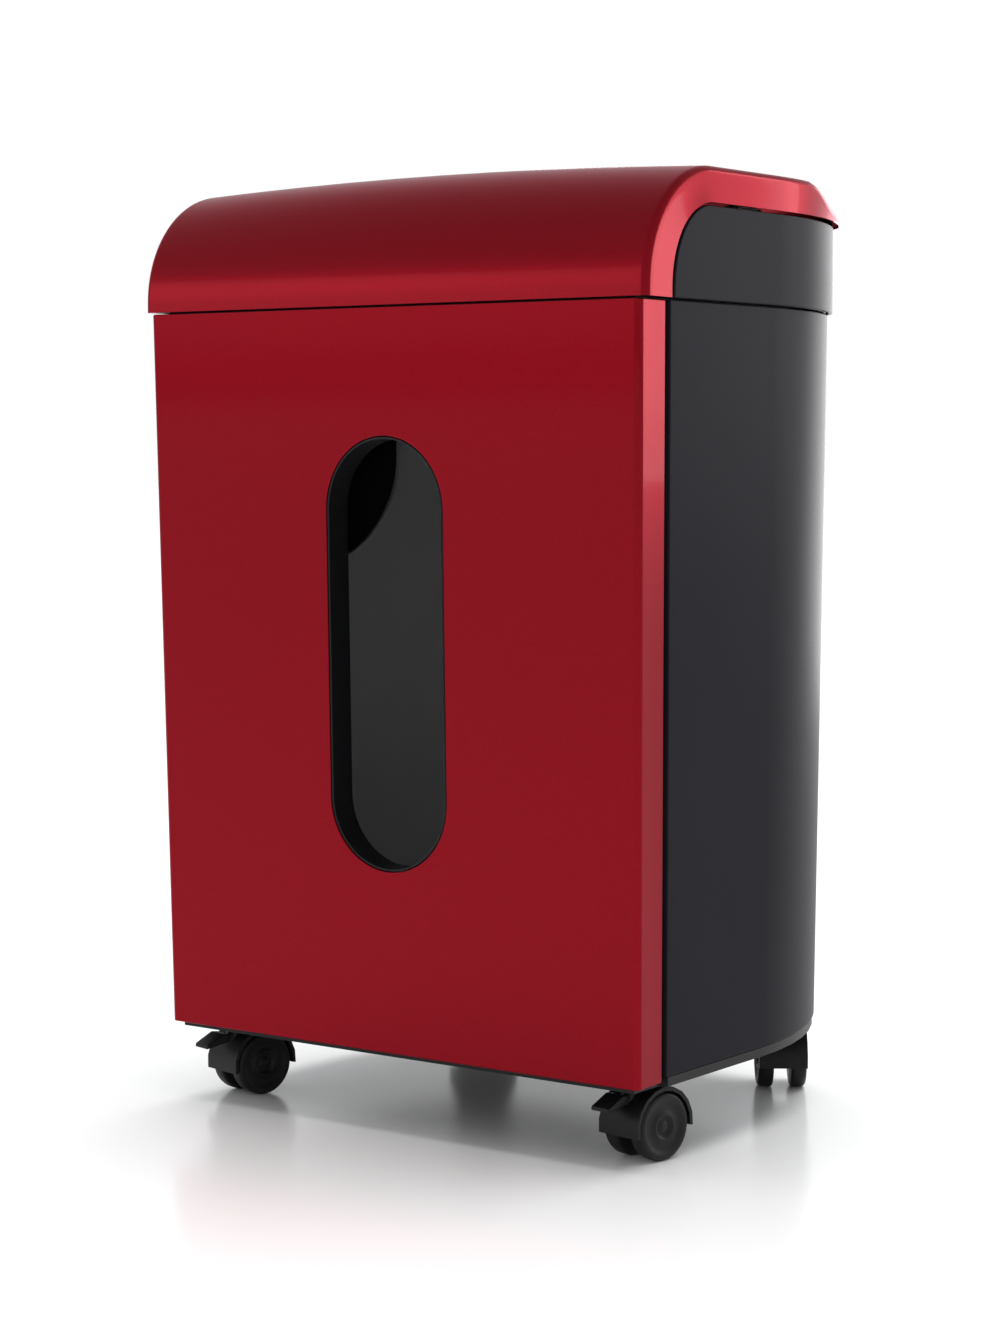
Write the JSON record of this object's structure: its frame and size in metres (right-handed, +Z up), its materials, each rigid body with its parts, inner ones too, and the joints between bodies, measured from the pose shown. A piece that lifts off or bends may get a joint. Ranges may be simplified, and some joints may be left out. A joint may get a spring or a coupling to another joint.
{
  "type": "paper shredder",
  "caption": "Upright paper shredder with a curved gloss cover, paper slot on top, pull-out bin with a tall oval window, and twin-wheel swivel casters.",
  "frame": {"origin": "on the floor, under the middle of the overall box", "axes": "+Z up; -Y is the front, with the bin and its window; +X is to the right as seen facing the back from the front"},
  "size_m": [0.372, 0.3058, 0.5743],
  "materials": {
    "red_gloss": "glossy metallic red moulding",
    "charcoal": "fine textured satin",
    "black_plastic": "satin",
    "grey_plastic": "moulded, satin",
    "smoked_window": "smoked clear plastic",
    "steel": "plated",
    "cutter_steel": "hardened, oiled",
    "nylon": "moulded nylon",
    "button_silver": "silver lacquer",
    "indicator": "clear green",
    "board": "solder mask",
    "tread": "satin nylon tread"
  },
  "bodies": {
    "cabinet": {"base_plate": "black_plastic", "cabinet_shell": "charcoal", "bin_rail_left": "nylon", "bin_rail_right": "nylon", "head_deck": "black_plastic", "head_shell": "charcoal", "head_cover": "red_gloss", "paper_throat": "black_plastic", "control_panel": "black_plastic", "led_lens": "indicator", "rear_grille": "black_plastic", "switch_bezel": "black_plastic", "cord_gland": "black_plastic", "interlock_switch": "black_plastic", "side_plate_left": "steel", "side_plate_right": "steel", "tie_rod_front": "steel", "tie_rod_rear": "steel", "stripper_front": "nylon", "stripper_rear": "nylon", "motor_housing": "steel", "motor_cradle": "black_plastic", "circuit_board": "board", "rear_screw_1": "steel", "rear_screw_2": "steel", "rear_screw_3": "steel", "rear_screw_4": "steel"},
    "bin": {"bin_front": "red_gloss", "bin_tub": "grey_plastic", "window_bezel": "black_plastic", "window_lens": "smoked_window", "bin_magnet": "steel"},
    "power_button": {"power_button": "button_silver"},
    "forward_button": {"forward_button": "button_silver"},
    "reverse_button": {"reverse_button": "button_silver"},
    "rocker_switch": {"rocker_switch": "black_plastic"},
    "cutter_rear": {"cutter_rear": "cutter_steel", "cutter_rear_gear": "nylon"},
    "cutter_front": {"cutter_front": "cutter_steel", "cutter_front_gear": "nylon"},
    "reduction_gear": {"reduction_gear": "nylon"},
    "motor_rotor": {"motor_rotor": "steel", "motor_fan": "nylon"},
    "swivel_front_left": {"caster_hood_front_left": "black_plastic"},
    "wheels_front_left": {"caster_wheels_front_left": "tread"},
    "brake_front_left": {"brake_lever_front_left": "black_plastic"},
    "swivel_front_right": {"caster_hood_front_right": "black_plastic"},
    "wheels_front_right": {"caster_wheels_front_right": "tread"},
    "brake_front_right": {"brake_lever_front_right": "black_plastic"},
    "swivel_back_left": {"caster_hood_back_left": "black_plastic"},
    "wheels_back_left": {"caster_wheels_back_left": "tread"},
    "swivel_back_right": {"caster_hood_back_right": "black_plastic"},
    "wheels_back_right": {"caster_wheels_back_right": "tread"}
  },
  "joints": [
    {"name": "bin_slide", "type": "slide", "parent": "cabinet", "child": "bin", "axis": [0, -1, 0], "range_m": [0, 0.2]},
    {"name": "power_press", "type": "slide", "parent": "cabinet", "child": "power_button", "axis": [0, 0, -1], "range_m": [0, 0.0015], "stiffness_N_per_m": 400, "springref_m": -0.0004},
    {"name": "forward_press", "type": "slide", "parent": "cabinet", "child": "forward_button", "axis": [0, 0, -1], "range_m": [0, 0.0015], "stiffness_N_per_m": 400, "springref_m": -0.0004},
    {"name": "reverse_press", "type": "slide", "parent": "cabinet", "child": "reverse_button", "axis": [0, 0, -1], "range_m": [0, 0.0015], "stiffness_N_per_m": 400, "springref_m": -0.0004},
    {"name": "rocker_tilt", "type": "hinge", "parent": "cabinet", "child": "rocker_switch", "pos_m": [0.088, 0.13734, 0.521], "axis": [1, 0, 0], "range_deg": [0, 12]},
    {"name": "cutter_rear_spin", "type": "hinge", "parent": "cabinet", "child": "cutter_rear", "pos_m": [0, 0.00006, 0.527], "axis": [1, 0, 0], "continuous": true},
    {"name": "cutter_front_spin", "type": "hinge", "parent": "cabinet", "child": "cutter_front", "pos_m": [0, -0.03794, 0.527], "axis": [1, 0, 0], "continuous": true},
    {"name": "reduction_spin", "type": "hinge", "parent": "cabinet", "child": "reduction_gear", "pos_m": [0, 0.03204, 0.5315], "axis": [1, 0, 0], "continuous": true},
    {"name": "motor_spin", "type": "hinge", "parent": "cabinet", "child": "motor_rotor", "pos_m": [0, 0.06704, 0.5315], "axis": [1, 0, 0], "continuous": true},
    {"name": "swivel_front_left_turn", "type": "hinge", "parent": "cabinet", "child": "swivel_front_left", "pos_m": [-0.151, -0.11294, 0.044], "axis": [0, 0, 1], "continuous": true},
    {"name": "wheels_front_left_roll", "type": "hinge", "parent": "swivel_front_left", "child": "wheels_front_left", "pos_m": [-0.14785, -0.10033, 0.02], "axis": [0.9703, -0.2419, 0], "continuous": true},
    {"name": "brake_front_left_lift", "type": "hinge", "parent": "swivel_front_left", "child": "brake_front_left", "pos_m": [-0.15356, -0.12323, 0.038], "axis": [-0.9703, 0.2419, 0], "range_deg": [0, 22]},
    {"name": "swivel_front_right_turn", "type": "hinge", "parent": "cabinet", "child": "swivel_front_right", "pos_m": [0.151, -0.11294, 0.044], "axis": [0, 0, 1], "continuous": true},
    {"name": "wheels_front_right_roll", "type": "hinge", "parent": "swivel_front_right", "child": "wheels_front_right", "pos_m": [0.15326, -0.10014, 0.02], "axis": [0.9848, -0.1736, 0], "continuous": true},
    {"name": "brake_front_right_lift", "type": "hinge", "parent": "swivel_front_right", "child": "brake_front_right", "pos_m": [0.14916, -0.12338, 0.038], "axis": [-0.9848, 0.1736, 0], "range_deg": [0, 22]},
    {"name": "swivel_back_left_turn", "type": "hinge", "parent": "cabinet", "child": "swivel_back_left", "pos_m": [-0.126, 0.10106, 0.044], "axis": [0, 0, 1], "continuous": true},
    {"name": "wheels_back_left_roll", "type": "hinge", "parent": "swivel_back_left", "child": "wheels_back_left", "pos_m": [-0.11474, 0.10756, 0.02], "axis": [0.5, -0.866, 0], "continuous": true},
    {"name": "swivel_back_right_turn", "type": "hinge", "parent": "cabinet", "child": "swivel_back_right", "pos_m": [0.126, 0.10106, 0.044], "axis": [0, 0, 1], "continuous": true},
    {"name": "wheels_back_right_roll", "type": "hinge", "parent": "swivel_back_right", "child": "wheels_back_right", "pos_m": [0.11836, 0.11158, 0.02], "axis": [0.809, 0.5878, 0], "continuous": true}
  ],
  "couplings": [
    {"joint": "cutter_front_spin", "follows": "cutter_rear_spin", "ratio": -1},
    {"joint": "reduction_spin", "follows": "cutter_rear_spin", "ratio": -1.4286},
    {"joint": "motor_spin", "follows": "cutter_rear_spin", "ratio": 5.7143}
  ]
}
